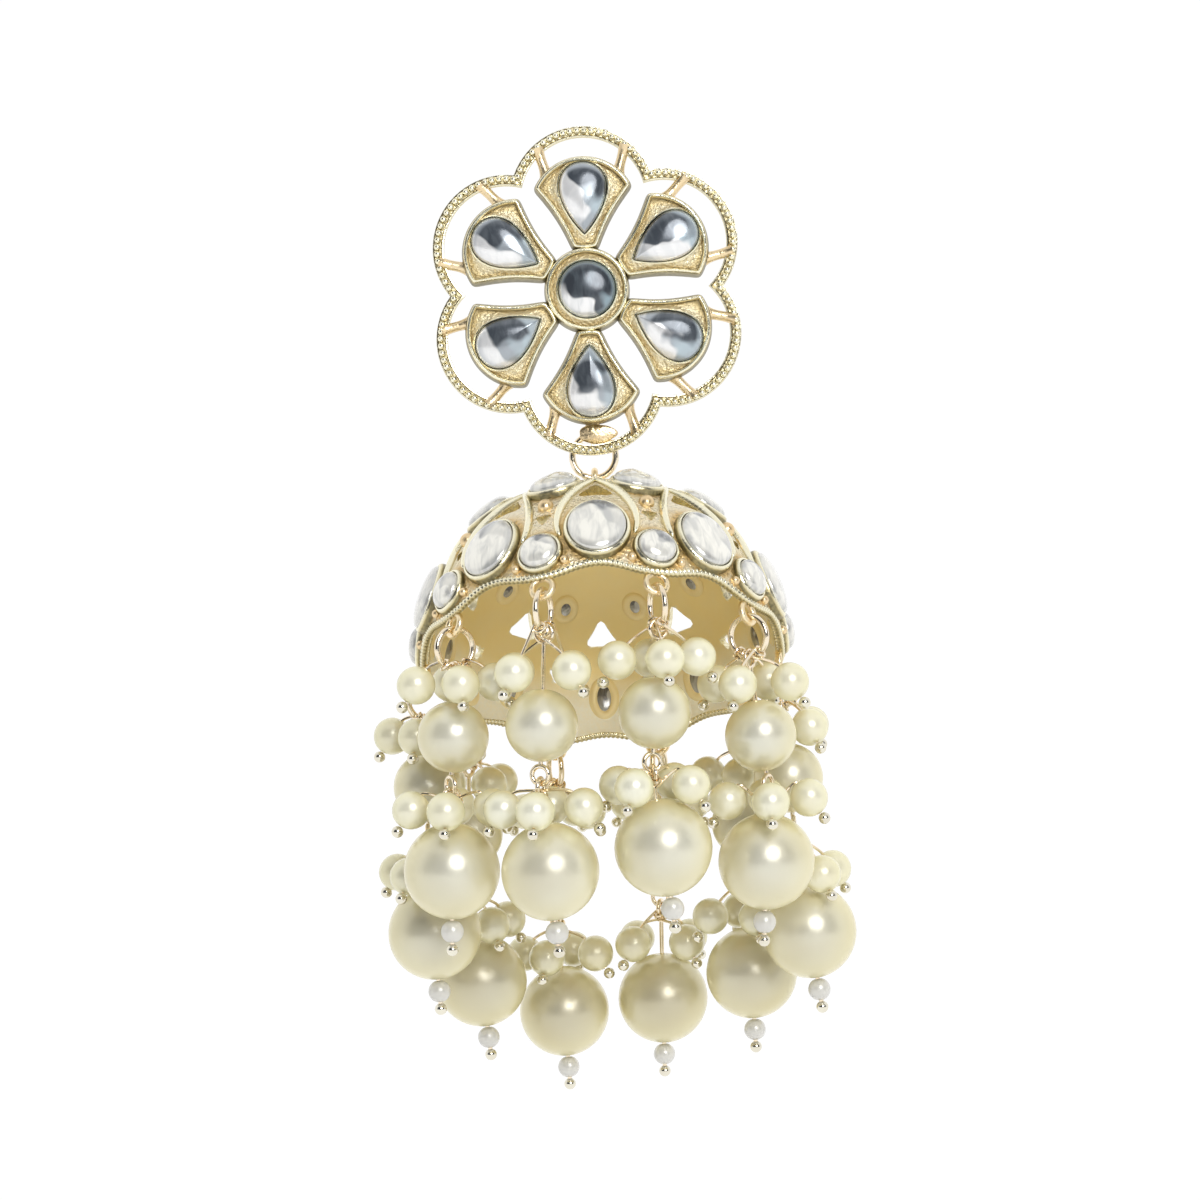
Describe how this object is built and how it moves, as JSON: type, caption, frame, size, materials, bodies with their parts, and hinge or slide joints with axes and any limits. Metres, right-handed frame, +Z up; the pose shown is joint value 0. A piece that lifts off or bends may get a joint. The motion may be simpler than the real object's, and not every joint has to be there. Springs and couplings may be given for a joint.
{
  "type": "jhumka earring",
  "caption": "Gilt jhumka earring: stone-set flower stud on a post, openwork domed bell on a ring below it, and pearl strands with small pearl clusters round the bell's rim",
  "frame": {"origin": "middle of the flower's back, where it lies on the ear lobe and the post leaves it", "axes": "+Z up as worn, the flower faces -Y and its post runs along +Y, +X from left to right seen from the front"},
  "size_m": [0.0507, 0.0433, 0.1063],
  "materials": {
    "cast_gold": "pale gold plate over cast brass, polished ridges and satin hollows",
    "gold_wire": "bright gold-plated drawn wire",
    "clear_stone": "clear glass cabochon over a mirror foil back",
    "pearl": "cream pearl lacquer with a soft sheen",
    "small_pearl": "pale yellow-green pearl lacquer",
    "seed_bead": "glossy white"
  },
  "bodies": {
    "flower": {"flower_frame": "cast_gold", "centre_stone": "clear_stone", "petal_stone_1": "clear_stone", "petal_stone_2": "clear_stone", "petal_stone_3": "clear_stone", "petal_stone_4": "clear_stone", "petal_stone_5": "clear_stone", "petal_stone_6": "clear_stone", "ear_post": "gold_wire"},
    "link": {"connector_ring": "gold_wire"},
    "drop": {"dome": "cast_gold", "dome_oval_stones": "clear_stone", "dome_round_stones": "clear_stone", "crown_stones": "clear_stone", "medium_pearl_01": "pearl", "medium_pearl_02": "pearl", "medium_pearl_03": "pearl", "medium_pearl_04": "pearl", "medium_pearl_05": "pearl", "medium_pearl_06": "pearl", "medium_pearl_07": "pearl", "medium_pearl_08": "pearl", "medium_pearl_09": "pearl", "medium_pearl_10": "pearl", "large_pearl_01": "pearl", "large_pearl_02": "pearl", "large_pearl_03": "pearl", "large_pearl_04": "pearl", "large_pearl_05": "pearl", "large_pearl_06": "pearl", "large_pearl_07": "pearl", "large_pearl_08": "pearl", "large_pearl_09": "pearl", "large_pearl_10": "pearl", "small_pearls_01": "small_pearl", "small_pearls_02": "small_pearl", "small_pearls_03": "small_pearl", "small_pearls_04": "small_pearl", "small_pearls_05": "small_pearl", "small_pearls_06": "small_pearl", "small_pearls_07": "small_pearl", "small_pearls_08": "small_pearl", "small_pearls_09": "small_pearl", "small_pearls_10": "small_pearl", "strand_wires_01": "gold_wire", "strand_wires_02": "gold_wire", "strand_wires_03": "gold_wire", "strand_wires_04": "gold_wire", "strand_wires_05": "gold_wire", "strand_wires_06": "gold_wire", "strand_wires_07": "gold_wire", "strand_wires_08": "gold_wire", "strand_wires_09": "gold_wire", "strand_wires_10": "gold_wire", "seed_beads": "seed_bead"}
  },
  "joints": [
    {"name": "link_swing", "type": "hinge", "parent": "flower", "child": "link", "pos_m": [0, 0.0012, -0.01572], "axis": [1, 0, 0], "range_deg": [-12, 45]},
    {"name": "drop_sway", "type": "hinge", "parent": "link", "child": "drop", "pos_m": [0, 0.0012, -0.0181], "axis": [0, 1, 0], "range_deg": [-25, 25]}
  ]
}
